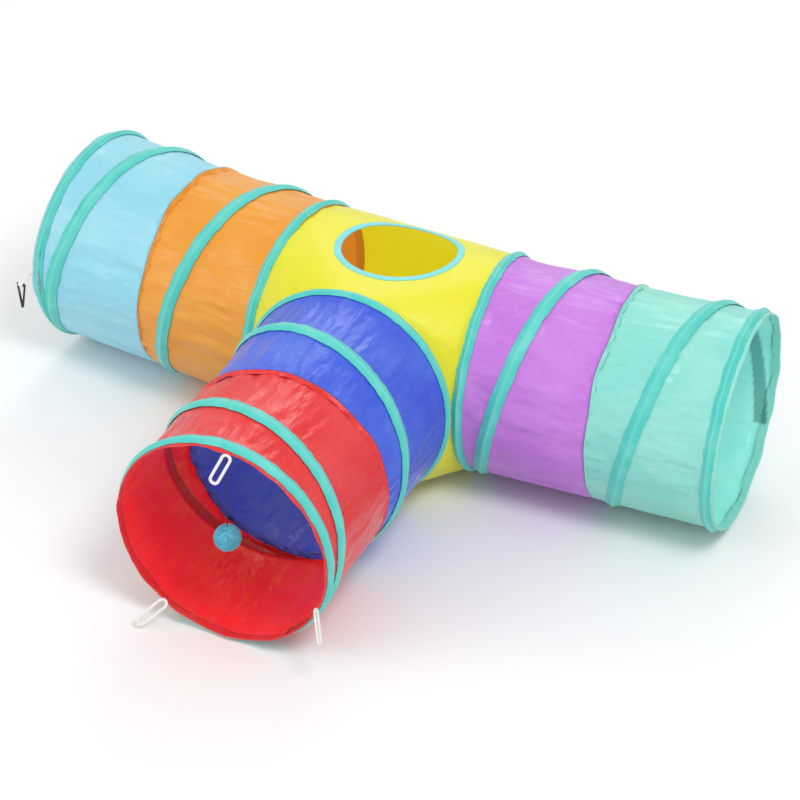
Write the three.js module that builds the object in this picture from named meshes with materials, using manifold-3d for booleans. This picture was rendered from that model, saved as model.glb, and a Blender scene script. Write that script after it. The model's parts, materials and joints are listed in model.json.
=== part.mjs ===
// A three-way pop-up agility tunnel for cats and small dogs: a yellow hub with a round window in
// its roof, and three fabric arms on spring-steel wire that fold flat towards the hub.
// Millimetres, +Z up. The origin is on the floor under the middle of the hub. The two long arms
// lie along X, each swept back a little, and the branch arm points along -Y.
import * as THREE from 'three';
import { ConvexGeometry } from 'three/addons/geometries/ConvexGeometry.js';
import { mergeVertices } from 'three/addons/utils/BufferGeometryUtils.js';
import Module from 'manifold-3d';

const wasm = await Module();
wasm.setup();

// ---- driving dimensions ------------------------------------------------------------------------

const GAP = 0.3;                    // clearance between neighbouring pieces
const SIDES = 32;                   // flats round every ring, panel and spiral turn
const FLAT_ANGLE = 2 * Math.PI / SIDES;
const SHORTEST_EDGE = 0.05;
const CORNER = 1 / Math.cos(FLAT_ANGLE / 2);   // from a radius across flats to one at the corners

// Radii of the arms, all across flats.
const FABRIC_INNER = 120.3;
const FABRIC_OUTER = 120.9;
const WIRE_CENTRE = 122.6;
const TAPE_FOOT = FABRIC_OUTER + GAP;
const RING_ROOF = 125;              // top of the tape over a ring's wire
const SPIRAL_ROOF = 124.7;          // the spiral's tape is pulled a little tighter
const AXIS_HEIGHT = RING_ROOF;      // the rings stand on the floor

const SEAM_DISTANCE = 266;          // hub centre to where an arm's two colours are sewn together
const SPIRAL_PITCH = 153;
const RING_TAPE = 12;               // widths of the binding tape
const SPIRAL_TAPE = 16.5;
const LIP = 2;                      // fabric past the tape at a mouth

const WIRE_RADIUS = 0.8;
const FERRULE_RADIUS = 1.4;
const FERRULE_LENGTH = 14;
const TAPE_THICKNESS = 0.7;
const SEAM_DEPTH = 7.5;             // sewn edges that stand up inside the arm
const SEAM_HALF = 0.6;

// Window in the hub's roof.
const WINDOW_X = 5.5;
const WINDOW_Y = -2;
const WINDOW_LENGTH = 129;          // clear opening, along its long axis
const WINDOW_WIDTH = 109;
const WINDOW_TURN = THREE.MathUtils.degToRad(27);
const WINDOW_TAPE = 7.5;
const HUB_FLOOR_RADIUS = 60;        // where the hub's floor sags to the ground

// Pompom on its elastic, in the branch mouth.
const POMPOM_RADIUS = 15;
const POMPOM_HEIGHT = 131;
const POMPOM_X = 5;
const ELASTIC_RADIUS = 0.55;
const KNOT_RADIUS = 1.8;
const POMPOM_INSET = 6;             // behind the mouth's plane

// Tie loops, straps and hooks.
const LOOP_LENGTH = 39;
const LOOP_WIDTH = 12;
const LOOP_STRAND = 3;
const LOOP_THICKNESS = 1.6;
const STRAP_WIDTH = 6.4;
const STRAP_LENGTH = 22;            // root to the middle of the eye
const STRAP_THICKNESS = 1.4;
const EYE_RADIUS = 1.9;
const EYE_WALL = 0.7;
const HOOK_LENGTH = 33;
const HOOK_WIDTH = 12;
const HOOK_BAR = 2.2;
const HOOK_ARM = 1.5;

// Each arm: its sweep about Z; how far from the hub's centre its inner ring and mouth are, and
// where its spiral first crosses the top; how steeply its inner ring leans back towards the hub;
// the width of the tape round its mouth; its colours.
const ARMS = {
  left: {
    heading: 174, start: 112.5, end: 409.5, spiralTop: 192, lean: 0, mouthTape: RING_TAPE,
    inner: 'orange', outer: 'sky_blue',
  },
  right: {
    heading: 3.3, start: 115, end: 410.5, spiralTop: 196, lean: 0, mouthTape: RING_TAPE,
    inner: 'purple', outer: 'mint',
  },
  branch: {
    heading: -90, start: 116, end: 415, spiralTop: 191, lean: 0.11, mouthTape: 15,
    inner: 'blue', outer: 'red',
  },
};

// ---- finishes ----------------------------------------------------------------------------------

const finish = (color, roughness, metalness = 0) =>
  new THREE.MeshStandardMaterial({ color, roughness, metalness });

const FINISHES = {
  yellow: finish(0xe8e83a, 0.55),
  orange: finish(0xe89a2c, 0.5),
  sky_blue: finish(0x9ad6e6, 0.5),
  purple: finish(0xc878e4, 0.5),
  mint: finish(0x86dfcf, 0.5),
  blue: finish(0x3a52cf, 0.45),
  red: finish(0xe0302f, 0.45),
  tape: finish(0x55c4b8, 0.65),
  window_tape: finish(0x7fd6d6, 0.65),
  wire: finish(0x9a9da0, 0.35, 0.9),
  ferrule: finish(0xb8bbbd, 0.4, 0.9),
  elastic: finish(0x18181a, 0.7),
  pompom: finish(0x74c6dc, 0.95),
  white_tape: finish(0xf0f0ee, 0.75),
  hook: finish(0x161616, 0.4),
};

const named = (name, geometry, slot) => {
  const mesh = new THREE.Mesh(geometry, FINISHES[slot].clone());
  mesh.name = name;
  return mesh;
};

// ---- solids for cutting ------------------------------------------------------------------------

function solidOf(geometry) {
  const bare = geometry.index ? geometry.toNonIndexed() : geometry.clone();
  bare.deleteAttribute('normal');
  bare.deleteAttribute('uv');
  const merged = mergeVertices(bare, 1e-4);
  return new wasm.Manifold(new wasm.Mesh({
    numProp: 3,
    vertProperties: new Float32Array(merged.getAttribute('position').array),
    triVerts: new Uint32Array(merged.index.array),
  }));
}

// Cuts leave edges far shorter than the gaps, so those are closed up first.
function geometryOf(solid) {
  const mesh = solid.asOriginal().simplify(SHORTEST_EDGE).getMesh();
  const geometry = new THREE.BufferGeometry();
  geometry.setAttribute('position', new THREE.BufferAttribute(mesh.vertProperties, 3));
  geometry.setIndex(new THREE.BufferAttribute(mesh.triVerts, 1));
  return geometry;
}

// ---- rings, panels and spirals in an arm's own frame -------------------------------------------
// Local +X runs out along the arm from the inner ring's plane, +Z is up. Angles are measured from
// the top, clockwise as seen by someone looking into the arm's mouth.

const aroundArm = (station, radius, angle) => new THREE.Vector3(
  station, radius * Math.sin(angle), radius * Math.cos(angle));

const cornerAngle = (index) => (index + 0.5) * FLAT_ANGLE;

// A closed (radius, station) outline turned about the arm's axis.
function turned(outline) {
  const points = outline.map(([radius, station]) => new THREE.Vector2(radius * CORNER, station));
  points.push(points[0].clone());
  return new THREE.LatheGeometry(points, SIDES, FLAT_ANGLE / 2).rotateZ(-Math.PI / 2);
}

const tube = (inner, outer, start, end) =>
  turned([[outer, start], [outer, end], [inner, end], [inner, start]]);

// Section of binding tape laid over a wire: two flat feet and a raised roof.
// Points are (offset across the tape, radius).
function tapeSection(width, roof) {
  const foot = width / 2;
  const crown = 2;
  const rim = 0.6;
  return [
    [-foot, TAPE_FOOT], [-foot + rim, TAPE_FOOT], [-crown + 0.4, roof - TAPE_THICKNESS],
    [crown - 0.4, roof - TAPE_THICKNESS], [foot - rim, TAPE_FOOT], [foot, TAPE_FOOT],
    [crown, roof], [-crown, roof],
  ];
}

function wireSection() {
  const corners = 5;
  return Array.from({ length: corners }, (_, i) => {
    const angle = i * 2 * Math.PI / corners;
    return [WIRE_RADIUS * Math.cos(angle), WIRE_CENTRE + WIRE_RADIUS * Math.sin(angle)];
  });
}

// The section runs anticlockwise, so it is reversed where its radius becomes the first coordinate.
const ringOf = (section, station) =>
  turned(section.map(([offset, radius]) => [radius, station + offset]).reverse());

// A section carried along an arm's left-handed helix, one step for each flat, from one ring's
// wire to the other's and then cut off where the rings' tapes begin.
function spiralOf(section, { start, end, spiralTop, lean, mouthTape }) {
  const top = spiralTop - start;
  const length = end - start;
  const advance = SPIRAL_PITCH / SIDES;
  const cornerAt = (station) => Math.round((station - top) / advance - 0.5);
  const first = cornerAt(GAP + RING_TAPE / 2);
  const flats = cornerAt(length - LIP - mouthTape / 2) - first;

  const outline = new THREE.Shape(
    section.map(([offset, radius]) => new THREE.Vector2(offset, radius)));
  const geometry = new THREE.ExtrudeGeometry(outline, {
    depth: flats, steps: flats, bevelEnabled: false });
  const position = geometry.getAttribute('position');
  for (let i = 0; i < position.count; i += 1) {
    const corner = first + position.getZ(i);
    const station = top + (corner + 0.5) * advance - position.getX(i);
    const point = aroundArm(station, position.getY(i) * CORNER, cornerAngle(corner));
    position.setXYZ(i, point.x, point.y, point.z);
  }
  return geometryOf(solidOf(geometry)
    .trimByPlane([1, 0, lean], (RING_TAPE + 2 * GAP) / Math.hypot(1, lean))
    .trimByPlane([-1, 0, 0], LIP + mouthTape + GAP - length));
}

// Crimped sleeve over the butt joint of a ring's wire, in the middle of one flat.
function ferrule(name, station, angle) {
  const outline = new THREE.Shape().absarc(0, 0, FERRULE_RADIUS, 0, 2 * Math.PI);
  outline.holes.push(new THREE.Path().absarc(0, 0, WIRE_RADIUS + GAP, 0, 2 * Math.PI, true));
  const geometry = new THREE.ExtrudeGeometry(outline, {
    depth: FERRULE_LENGTH, bevelEnabled: false, curveSegments: 4 });
  geometry.translate(0, 0, -FERRULE_LENGTH / 2);
  const mesh = named(name, geometry, 'ferrule');
  mesh.position.copy(aroundArm(station, WIRE_CENTRE, angle));
  mesh.rotation.x = -(Math.PI / 2 + angle);
  return mesh;
}

function boundRing(prefix, station, tapeWidth, ferruleAngle) {
  return [
    named(`${prefix}_wire`, ringOf(wireSection(), station), 'wire'),
    ferrule(`${prefix}_ferrule`, station, ferruleAngle),
    named(`${prefix}_binding`, ringOf(tapeSection(tapeWidth, RING_ROOF), station), 'tape'),
  ];
}

// Leans the inner ring's pieces by carrying each point along the arm in proportion to its height.
// The panel beyond them is stretched to match, and less and less towards the seam.
function leaned(mesh, lean, seam) {
  if (mesh.name.endsWith('ferrule')) {
    mesh.position.x -= lean * mesh.position.z;
    return mesh;
  }
  const position = mesh.geometry.getAttribute('position');
  for (let i = 0; i < position.count; i += 1) {
    const share = (seam - position.getX(i)) / (seam - GAP - RING_TAPE);
    position.setX(i, position.getX(i) - lean * THREE.MathUtils.clamp(share, 0, 1) * position.getZ(i));
  }
  return mesh;
}

// An arm and whatever hangs in its mouth, which is placed from the middle of the mouth's plane.
function makeArm(side, layout, hanging) {
  const { start, end, lean, mouthTape, inner, outer } = layout;
  const turn = THREE.MathUtils.degToRad(layout.heading);
  const length = end - start;
  const seam = SEAM_DISTANCE - start;
  const seamGap = SEAM_HALF + GAP;

  const mouth = new THREE.Group();
  mouth.position.x = length;
  hanging.forEach((piece) => mouth.add(piece));

  const arm = new THREE.Group();
  arm.rotation.z = turn;
  arm.position.set(start * Math.cos(turn), start * Math.sin(turn), AXIS_HEIGHT);
  arm.add(
    ...[
      ...boundRing(`${side}_inner_ring`, GAP + RING_TAPE / 2, RING_TAPE, Math.PI),
      named(`${side}_${inner}_panel`, tube(FABRIC_INNER, FABRIC_OUTER, GAP, seam - seamGap), inner),
    ].map((mesh) => leaned(mesh, lean, seam)),
    named(`${side}_seam_band`,
      tube(FABRIC_OUTER - SEAM_DEPTH, FABRIC_OUTER, seam - SEAM_HALF, seam + SEAM_HALF), inner),
    named(`${side}_${outer}_panel`, tube(FABRIC_INNER, FABRIC_OUTER, seam + seamGap, length), outer),
    named(`${side}_spiral_wire`, spiralOf(wireSection(), layout), 'wire'),
    named(`${side}_spiral_binding`, spiralOf(tapeSection(SPIRAL_TAPE, SPIRAL_ROOF), layout), 'tape'),
    ...boundRing(`${side}_end_ring`, length - LIP - mouthTape / 2, mouthTape, Math.PI / 2),
    mouth,
  );
  return arm;
}

// ---- hub ---------------------------------------------------------------------------------------

// The corners of the end of an arm's inner ring, a little nearer to the hub than the ring starts.
function ringCorners({ heading, start, lean }, margin, radius) {
  const axis = new THREE.Vector3(0, 0, 1);
  return Array.from({ length: SIDES }, (_, i) => {
    const corner = aroundArm(start - margin, radius * CORNER, cornerAngle(i));
    corner.x -= lean * corner.z;
    return corner.applyAxisAngle(axis, THREE.MathUtils.degToRad(heading))
      .add(new THREE.Vector3(0, 0, AXIS_HEIGHT));
  });
}

// Fabric stretched over the three inner rings, sagging to the floor in the middle. It reaches a
// hair past the ring planes, where the finished pieces are trimmed.
function hubForm(radius, floorHeight) {
  const points = Object.values(ARMS).flatMap((arm) =>
    ringCorners(arm, GAP - SHORTEST_EDGE, radius));
  const floorSides = 16;
  for (let i = 0; i < floorSides; i += 1) {
    const angle = i * 2 * Math.PI / floorSides;
    points.push(new THREE.Vector3(
      HUB_FLOOR_RADIUS * Math.cos(angle), HUB_FLOOR_RADIUS * Math.sin(angle), floorHeight));
  }
  return solidOf(new ConvexGeometry(points));
}

// Cuts a hub piece off square at the three inner rings, which opens it into the arms.
function trimmedAtRings(solid) {
  return Object.values(ARMS).reduce((rest, { heading, start, lean }) => {
    const turn = THREE.MathUtils.degToRad(heading);
    const inwards = [-Math.cos(turn), -Math.sin(turn), -lean];
    return rest.trimByPlane(
      inwards, (GAP - start - lean * AXIS_HEIGHT) / Math.hypot(1, lean));
  }, solid);
}

// An upright oval bar through the roof, wider than the window by the given margin.
function windowBar(margin) {
  const outline = new THREE.Shape().absellipse(WINDOW_X, WINDOW_Y, WINDOW_LENGTH / 2 + margin,
    WINDOW_WIDTH / 2 + margin, 0, 2 * Math.PI, false, WINDOW_TURN);
  const height = AXIS_HEIGHT;
  const geometry = new THREE.ExtrudeGeometry(outline, {
    depth: height, bevelEnabled: false, curveSegments: 22 });
  return solidOf(geometry.translate(0, 0, AXIS_HEIGHT + height / 4));
}

function makeHub() {
  const skin = FABRIC_OUTER - FABRIC_INNER;
  const sleeve = trimmedAtRings(hubForm(FABRIC_OUTER, 0)
    .subtract(hubForm(FABRIC_INNER, skin))
    .subtract(windowBar(1)));

  const under = FABRIC_OUTER + GAP;
  const binding = hubForm(under + TAPE_THICKNESS, 0).subtract(hubForm(under, 0))
    .intersect(windowBar(WINDOW_TAPE)).subtract(windowBar(0));

  const hub = new THREE.Group();
  hub.add(
    named('hub_sleeve', geometryOf(sleeve), 'yellow'),
    named('window_binding', geometryOf(binding), 'window_tape'),
  );
  return hub;
}

// ---- pompom ------------------------------------------------------------------------------------

function makePompom() {
  const knotHeight = FABRIC_INNER - GAP - KNOT_RADIUS;
  const ballHeight = POMPOM_HEIGHT - AXIS_HEIGHT;
  const top = knotHeight - KNOT_RADIUS - GAP;
  const bottom = ballHeight + POMPOM_RADIUS + GAP;
  const route = new THREE.LineCurve3(new THREE.Vector3(0, 0, top), new THREE.Vector3(0, 0, bottom));
  const section = new THREE.Shape().absarc(0, 0, ELASTIC_RADIUS, 0, 2 * Math.PI);
  const elastic = new THREE.ExtrudeGeometry(section, {
    extrudePath: route, steps: 36, curveSegments: 4, bevelEnabled: false });

  const ball = named('pompom_ball', new THREE.IcosahedronGeometry(POMPOM_RADIUS, 3), 'pompom');
  ball.position.z = ballHeight;
  const knot = named('pompom_knot', new THREE.IcosahedronGeometry(KNOT_RADIUS, 1), 'elastic');
  knot.position.z = knotHeight;

  const pompom = new THREE.Group();
  pompom.add(ball, knot, named('pompom_cord', elastic, 'elastic'));
  pompom.position.set(-POMPOM_INSET, POMPOM_X, 0);
  return pompom;
}

// ---- tie loops, straps and hooks ---------------------------------------------------------------
// In its own frame a tie hangs along -Y from its stitched root, with its width along X.

function stadium(length, width, inset) {
  const radius = width / 2 - inset;
  const path = new THREE.Shape();
  path.absarc(0, -width / 2, radius, 0, Math.PI);
  path.absarc(0, -length + width / 2, radius, Math.PI, 2 * Math.PI);
  return path.closePath();
}

function tieLoop(name) {
  const outline = stadium(LOOP_LENGTH, LOOP_WIDTH, 0);
  outline.holes.push(new THREE.Path(
    stadium(LOOP_LENGTH, LOOP_WIDTH, LOOP_STRAND).getPoints(6).reverse()));
  const geometry = new THREE.ExtrudeGeometry(outline, {
    depth: LOOP_THICKNESS, bevelEnabled: false, curveSegments: 6 });
  return named(name, geometry.translate(0, 0, -LOOP_THICKNESS / 2), 'white_tape');
}

// A doubled tape whose lower end is an eye round the hook's bar. The tape is pulled askew, so
// that the eye is `reach` to one side of the root.
function tieStrap(name, reach) {
  const outer = EYE_RADIUS + EYE_WALL;
  const half = STRAP_THICKNESS / 2;
  const spread = Math.asin(half / outer);
  const outline = new THREE.Shape();
  outline.moveTo(-half, 0);
  outline.absarc(0, -STRAP_LENGTH, outer, Math.PI / 2 + spread, Math.PI / 2 - spread + 2 * Math.PI);
  outline.lineTo(half, 0);
  outline.holes.push(new THREE.Path().absarc(0, -STRAP_LENGTH, EYE_RADIUS, 0, 2 * Math.PI, true));
  const geometry = new THREE.ExtrudeGeometry(outline, {
    depth: STRAP_WIDTH, bevelEnabled: false, curveSegments: 6 });
  geometry.translate(0, 0, -STRAP_WIDTH / 2).rotateY(Math.PI / 2);
  const position = geometry.getAttribute('position');
  for (let i = 0; i < position.count; i += 1) {
    const share = Math.min(1, position.getY(i) / (outer - STRAP_LENGTH));
    position.setX(i, position.getX(i) + reach * share);
  }
  return named(name, geometry, 'white_tape');
}

// A narrow triangle of moulded plastic: a bar across the top and two arms that meet in a tip.
function tieHook(name, reach) {
  const top = HOOK_BAR / 2;
  const tip = top - HOOK_LENGTH;
  const tipHalf = 1.4;
  const outline = new THREE.Shape();
  outline.moveTo(-HOOK_WIDTH / 2, top);
  outline.lineTo(-tipHalf, tip + tipHalf);
  outline.absarc(0, tip + tipHalf, tipHalf, Math.PI, 2 * Math.PI);
  outline.lineTo(HOOK_WIDTH / 2, top);
  const crotch = 7;
  outline.holes.push(new THREE.Path([
    new THREE.Vector2(-HOOK_WIDTH / 2 + HOOK_ARM + 0.3, -top),
    new THREE.Vector2(HOOK_WIDTH / 2 - HOOK_ARM - 0.3, -top),
    new THREE.Vector2(0.5, tip + crotch),
    new THREE.Vector2(-0.5, tip + crotch),
  ]));
  const geometry = new THREE.ExtrudeGeometry(outline, {
    depth: HOOK_BAR, bevelEnabled: false, curveSegments: 4 });
  const mesh = named(name, geometry.translate(0, 0, -HOOK_BAR / 2), 'hook');
  mesh.position.set(reach, -STRAP_LENGTH, 0);
  return mesh;
}

// Hangs pieces at the mouth's edge: `down` is the way they hang and `across` the way of their
// width, both in the arm's frame; `out` is how far their root stands off the mouth's plane.
function hungAt(angle, radius, out, down, across, pieces) {
  const tie = new THREE.Group();
  const y = down.clone().normalize().negate();
  const x = across.clone().addScaledVector(y, -across.dot(y)).normalize();
  const z = new THREE.Vector3().crossVectors(x, y);
  tie.quaternion.setFromRotationMatrix(new THREE.Matrix4().makeBasis(x, y, z));
  tie.position.copy(aroundArm(out, radius, angle));
  tie.add(...pieces);
  return tie;
}

const vector = (x, y, z) => new THREE.Vector3(x, y, z);
const degrees = THREE.MathUtils.degToRad;

function branchTies() {
  const standoff = GAP + LOOP_THICKNESS / 2;
  return [
    hungAt(degrees(6), 119.5, standoff, vector(0.25, -0.38, -0.9), vector(0, 1, -0.38),
      [tieLoop('branch_tie_loop_top')]),
    hungAt(degrees(109), 118.5, standoff + LOOP_WIDTH / 2, vector(0.4, 0.33, -0.83),
      vector(1, 0.1, 0.4), [tieLoop('branch_tie_loop_right')]),
    hungAt(degrees(214), 116, standoff + 0.8, vector(0.62, -0.52, -0.48), vector(0, 1, -0.6),
      [tieLoop('branch_tie_loop_left')]),
  ];
}

function leftTies() {
  const strapAndHook = (place, reach) => [
    tieStrap(`left_tie_strap_${place}`, reach), tieHook(`left_tie_hook_${place}`, reach)];
  return [
    hungAt(degrees(86), 122.5, GAP + STRAP_WIDTH / 2 + 0.5, vector(0, 0, -1), vector(1, 0, 0),
      strapAndHook('front', 15)),
    hungAt(degrees(201.5), 122.5, GAP + STRAP_THICKNESS, vector(0.988, 0, -0.145), vector(0, 1, 0),
      strapAndHook('low', 0)),
    hungAt(degrees(321.5), 122.5, GAP + EYE_RADIUS + EYE_WALL, vector(0, 0, -1), vector(0, 1, 0),
      strapAndHook('high', 0)),
  ];
}

// ---- the whole tunnel --------------------------------------------------------------------------

const hanging = { left: leftTies(), right: [], branch: [makePompom(), ...branchTies()] };
const arms = Object.entries(ARMS).map(([side, layout]) => makeArm(side, layout, hanging[side]));
const tunnel = new THREE.Group();
tunnel.add(makeHub(), ...arms);

export default tunnel;
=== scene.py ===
# The looks of a three-way pop-up agility tunnel: taffeta panels stretched on spring-wire rings
# and spirals, teal binding tape, a hub with a bound window, a pompom, tie loops and hooks.
import json
import math

import bmesh
import bpy
import numpy as np
from mathutils import Matrix, Vector
from mathutils.bvhtree import BVHTree


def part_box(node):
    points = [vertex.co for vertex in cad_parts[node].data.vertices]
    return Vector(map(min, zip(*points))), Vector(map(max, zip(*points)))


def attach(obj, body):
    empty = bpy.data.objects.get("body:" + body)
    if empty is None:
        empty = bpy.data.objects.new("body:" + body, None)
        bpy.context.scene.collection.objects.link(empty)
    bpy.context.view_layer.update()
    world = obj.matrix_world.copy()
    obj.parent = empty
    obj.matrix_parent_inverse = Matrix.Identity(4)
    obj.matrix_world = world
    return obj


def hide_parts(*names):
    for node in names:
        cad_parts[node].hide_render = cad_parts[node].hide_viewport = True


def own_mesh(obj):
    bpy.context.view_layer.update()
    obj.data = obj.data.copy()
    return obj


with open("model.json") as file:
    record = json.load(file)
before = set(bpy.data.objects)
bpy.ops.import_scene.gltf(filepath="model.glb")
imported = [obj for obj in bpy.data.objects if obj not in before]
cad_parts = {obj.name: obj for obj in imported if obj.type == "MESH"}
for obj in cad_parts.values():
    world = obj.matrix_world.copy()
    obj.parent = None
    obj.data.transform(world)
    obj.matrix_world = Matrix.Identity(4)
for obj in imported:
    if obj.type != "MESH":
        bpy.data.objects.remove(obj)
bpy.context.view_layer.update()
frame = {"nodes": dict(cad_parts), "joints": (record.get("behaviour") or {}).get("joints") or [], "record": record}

MM = 0.001
TAU = 2 * math.pi
UP = np.array([0.0, 0.0, 1.0])

# ---- sizes, in metres ------------------------------------------------------------------------

GAP = 0.3 * MM
AXIS_HEIGHT = 0.5 * (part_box("left_end_ring_binding")[0].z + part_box("left_end_ring_binding")[1].z)
CLOTH_RADIUS = 121.1 * MM          # outside of the stretched panels
CLOTH_THICKNESS = 0.5 * MM
SLACK = 0.8 * MM                   # how far the cloth draws in between its wires
CHANNEL_DEPTH = 1.2 * MM           # the spiral's sewn channel, on the cloth's inside
HEM_DEPTH = 0.7 * MM
RING_TAPE = 12 * MM
SPIRAL_TAPE = 16.5 * MM
LIP = 2 * MM                       # cloth past the tape at a mouth
RING_CROWN = 125.0 * MM
SPIRAL_CROWN = 124.6 * MM
WIRE_CENTRE = 122.6 * MM
WIRE_RADIUS = 0.8 * MM
SPIRAL_PITCH = 153 * MM
SPIRAL_TOP = {"left": 192 * MM, "right": 196 * MM, "branch": 191 * MM}
MOUTH_TAPE = {"left": RING_TAPE, "right": RING_TAPE, "branch": 15 * MM}
LEAN = {"left": 0.0, "right": 0.0, "branch": 0.11}    # of the inner ring, back over the hub
RAW_EDGE = {"left": 0.5 * MM, "right": 2.2 * MM, "branch": 0.9 * MM}
STRAP_PULL = 2.5 * MM              # how far the front strap draws out the left mouth
STRAP_ANGLE = math.radians(86)
ARM_COLOURS = {"left": ("orange", "sky_blue"), "right": ("purple", "mint"),
               "branch": ("blue", "red")}
THROUGH = {"yellow": 0.42, "orange": 0.3, "sky_blue": 0.3, "purple": 0.25, "mint": 0.3,
           "blue": 0.2, "red": 0.3}  # daylight that each cloth lets in
SEAM_DEPTH = 8 * MM
SEAM_GAP = 0.08 * MM
HEM = 9 * MM
WINDOW_CENTRE = np.array([5.5 * MM, -2 * MM])
WINDOW_HALF = (64.5 * MM, 54.5 * MM)
WINDOW_TURN = math.radians(27)
POMPOM_RADIUS = 15 * MM
ELASTIC_DIAMETER = 1.1 * MM
TUFTS = 1500


def node_points(name):
    """The corners of a CAD node at rest."""
    return np.array([v.co for v in frame["nodes"][name].data.vertices])


def joint(name):
    return next(j for j in frame["joints"] if j["name"] == name)


def smoothstep(low, high, value):
    t = np.clip((value - low) / (high - low), 0, 1)
    return t * t * (3 - 2 * t)


class Arm:
    """One arm's own frame: distance out from the hub's centre, radius, and angle from the top,
    clockwise as seen by someone looking into its mouth."""

    def __init__(self, side):
        self.side = side
        self.inner, self.outer = ARM_COLOURS[side]
        fold = joint(f"{side}_fold")
        self.out = -np.array(fold["axis"], float)
        self.out /= np.linalg.norm(self.out)
        self.across = np.cross(UP, self.out)
        self.travel = fold["range_m"][1]
        self.lean = LEAN[side]
        wire = node_points(f"{side}_inner_ring_wire") @ self.out
        self.start = wire.mean() - GAP - RING_TAPE / 2
        self.end = self.reach(f"{side}_{self.outer}_panel")[1]
        self.seam = sum(self.reach(f"{side}_seam_band")) / 2
        self.first_wire = self.start + GAP + RING_TAPE / 2
        self.last_wire = self.end - LIP - MOUTH_TAPE[side] / 2
        turns = np.linspace(-TAU, 2 * TAU, 6001)
        run = (self.spiral_distance(turns) >= self.leant(self.first_wire, WIRE_CENTRE, turns)) & (
            self.spiral_distance(turns) <= self.last_wire)
        self.spiral_angle = turns[run].min()
        self.spiral_turn = turns[run].max() - self.spiral_angle

    def reach(self, node):
        along = node_points(node) @ self.out
        return along.min(), along.max()

    def leant(self, distance, radius, angle):
        """The distance once the inner ring's lean is put in, which dies away towards the seam."""
        share = (self.seam - distance) / (self.seam - self.start - GAP - RING_TAPE)
        return distance - self.lean * np.clip(share, 0, 1) * radius * np.cos(angle)

    def points(self, distance, radius, angle):
        distance, radius, angle = np.broadcast_arrays(distance, radius, angle)
        distance = self.leant(distance, radius, angle)
        if self.side == "left":
            near = smoothstep(self.end - 70 * MM, self.end, distance)
            turn = (angle - STRAP_ANGLE + math.pi) % TAU - math.pi
            distance = distance + STRAP_PULL * near * np.exp(-(turn / 0.4) ** 2)
        return (distance[..., None] * self.out + (radius * np.sin(angle))[..., None] * self.across
                + (radius * np.cos(angle))[..., None] * UP + AXIS_HEIGHT * UP)

    def upright(self, distance, radius, angle):
        """Like points, for pieces that don't follow the ring's lean."""
        distance, radius, angle = np.broadcast_arrays(distance, radius, angle)
        return self.points(distance, radius, angle) + (
            distance - self.leant(distance, radius, angle))[..., None] * self.out

    def axis_point(self, distance):
        return Vector(self.points(distance, 0.0, 0.0))

    def inwards_of_ring(self, points):
        """How far points lie on the hub's side of the inner ring's plane."""
        return self.start - points @ self.out - self.lean * (points[:, 2] - AXIS_HEIGHT)

    def spiral_distance(self, angle):
        """How far out the spiral's centre line is after turning to this unwrapped angle."""
        return SPIRAL_TOP[self.side] + angle / TAU * SPIRAL_PITCH

    def from_supports(self, distance, angle):
        """Distance to the nearest wire below and above, for points on the panels."""
        below = distance - self.first_wire
        above = self.last_wire - distance
        near = np.minimum(np.abs(below), np.abs(above))
        below, above = np.maximum(below, 0), np.maximum(above, 0)
        wire = np.full(np.shape(near), 1.0)
        placed = self.leant(distance, CLOTH_RADIUS, angle)
        for turn in range(-2, 4):
            unwrapped = angle + turn * TAU
            inside = (unwrapped >= self.spiral_angle) & (
                unwrapped <= self.spiral_angle + self.spiral_turn)
            gap = placed - self.spiral_distance(unwrapped)
            below = np.where(inside & (gap >= 0), np.minimum(below, gap), below)
            above = np.where(inside & (gap < 0), np.minimum(above, -gap), above)
            wire = np.where(inside, np.minimum(wire, np.abs(gap)), wire)
        return below, above, np.minimum(near, wire), wire


ARMS = [Arm(side) for side in ARM_COLOURS]


# ---- mesh helpers ----------------------------------------------------------------------------

def mesh_object(name, points, faces, uvs=None, smooth=True, shade=None, through=None):
    """A mesh from points and faces; uvs holds one pair for each corner of each face. `through`
    is the light that comes through thin cloth from behind."""
    mesh = bpy.data.meshes.new(name)
    mesh.from_pydata(np.asarray(points, float).reshape(-1, 3).tolist(), [],
                     [list(map(int, f)) for f in faces])
    if uvs is not None:
        layer = mesh.uv_layers.new(name="cloth")
        layer.data.foreach_set("uv", np.asarray(uvs, np.float32).ravel())
    for attribute, values in (("shade", shade), ("through", through)):
        if values is not None:
            point_attribute(mesh, attribute, values)
    mesh.validate()
    mesh.update()
    if smooth:
        mesh.shade_smooth()
    made = bpy.data.objects.new(name, mesh)
    bpy.context.collection.objects.link(made)
    return made


def point_attribute(mesh, name, values):
    layer = mesh.attributes.new(name, "FLOAT", "POINT")
    layer.data.foreach_set("value", np.asarray(values, np.float32).ravel())


def ring_faces(rows, columns, closed_rows=False, flip=False):
    """Quads of rows x columns points; each row is a closed ring."""
    r, c = np.meshgrid(np.arange(rows if closed_rows else rows - 1), np.arange(columns),
                       indexing="ij")
    r2, c2 = (r + 1) % rows, (c + 1) % columns
    quads = np.stack([r * columns + c, r * columns + c2, r2 * columns + c2, r2 * columns + c], -1)
    quads = quads.reshape(-1, 4)
    return quads[:, ::-1] if flip else quads


def two_skins(rows, around, flip=False):
    """Faces of a closed sheet: an outer skin, an inner skin after it, and a rim at each end."""
    shell = rows * around
    column = np.arange(around)
    following = (column + 1) % around
    rim = np.stack([column, following, following + shell, column + shell], -1)
    faces = np.concatenate([ring_faces(rows, around), ring_faces(rows, around, flip=True) + shell,
                            rim[:, ::-1], rim + (rows - 1) * around])
    return faces[:, ::-1] if flip else faces


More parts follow.
